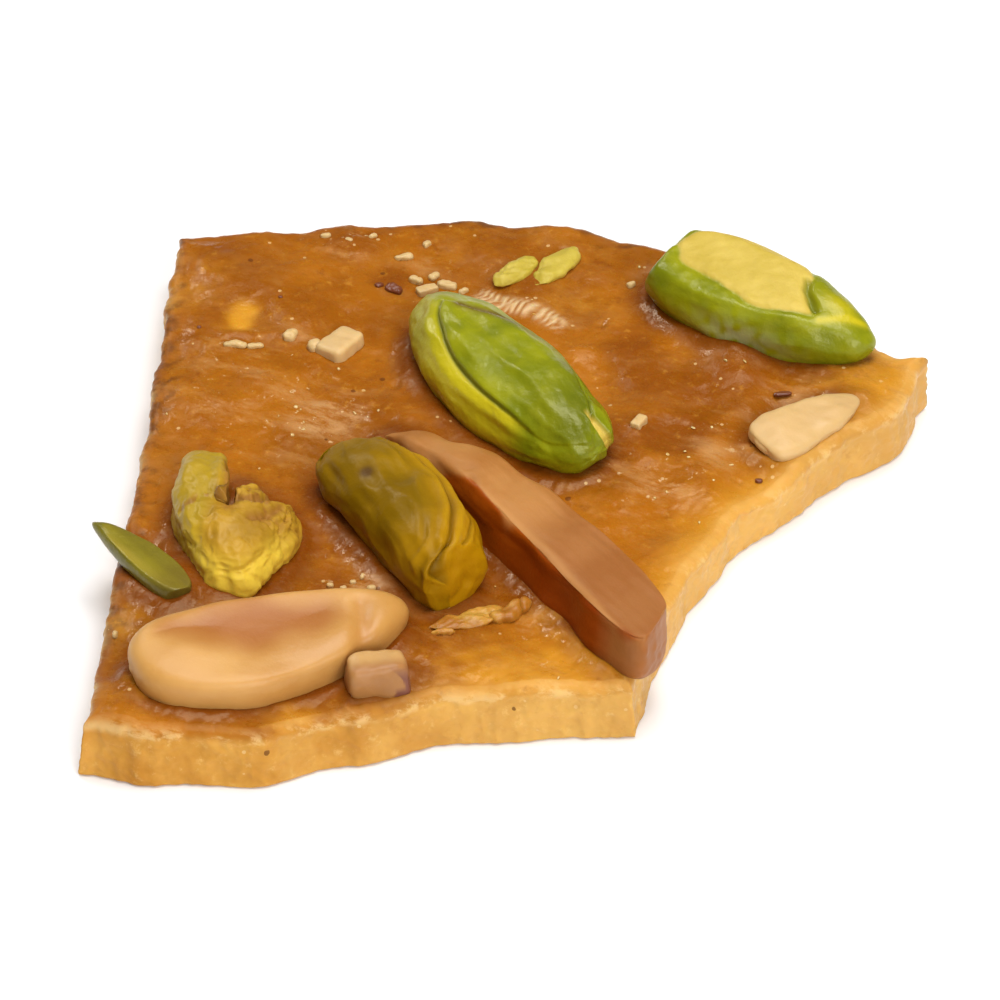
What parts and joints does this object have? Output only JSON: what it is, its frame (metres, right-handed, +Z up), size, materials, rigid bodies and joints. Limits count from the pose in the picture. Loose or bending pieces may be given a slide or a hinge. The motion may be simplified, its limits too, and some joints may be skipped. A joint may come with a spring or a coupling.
{
  "type": "sohan",
  "caption": "Flat hand-broken shard of saffron toffee brittle with pistachio kernels, a half almond and almond slivers pressed into its glossy top.",
  "frame": {"origin": "on the table under the middle of the shard's box", "axes": "+Z up out of the nut side, +X to the right and +Y away from someone who looks at the shard's near edge"},
  "size_m": [0.0454, 0.0446, 0.0075],
  "materials": {
    "toffee": "glossy amber toffee with a crinkled skin, paler and grainy on its broken rim",
    "pistachio": "waxy green kernel, yellow where it is cut",
    "pistachio_syruped": "olive kernel under a thin coat of syrup",
    "pistachio_broken": "rough pale broken kernel with traces of skin",
    "almond": "roasted cream almond, satin",
    "almond_roasted": "almond browned on its side, tan on its cut face"
  },
  "bodies": {
    "root": {"toffee_sheet": "toffee", "pistachio_split": "pistachio", "pistachio_corner": "pistachio", "pistachio_olive": "pistachio_syruped", "pistachio_broken": "pistachio_broken", "pistachio_sliver": "pistachio", "almond_half": "almond", "almond_chip": "almond", "almond_stick": "almond_roasted", "almond_slice": "almond"}
  },
  "joints": []
}
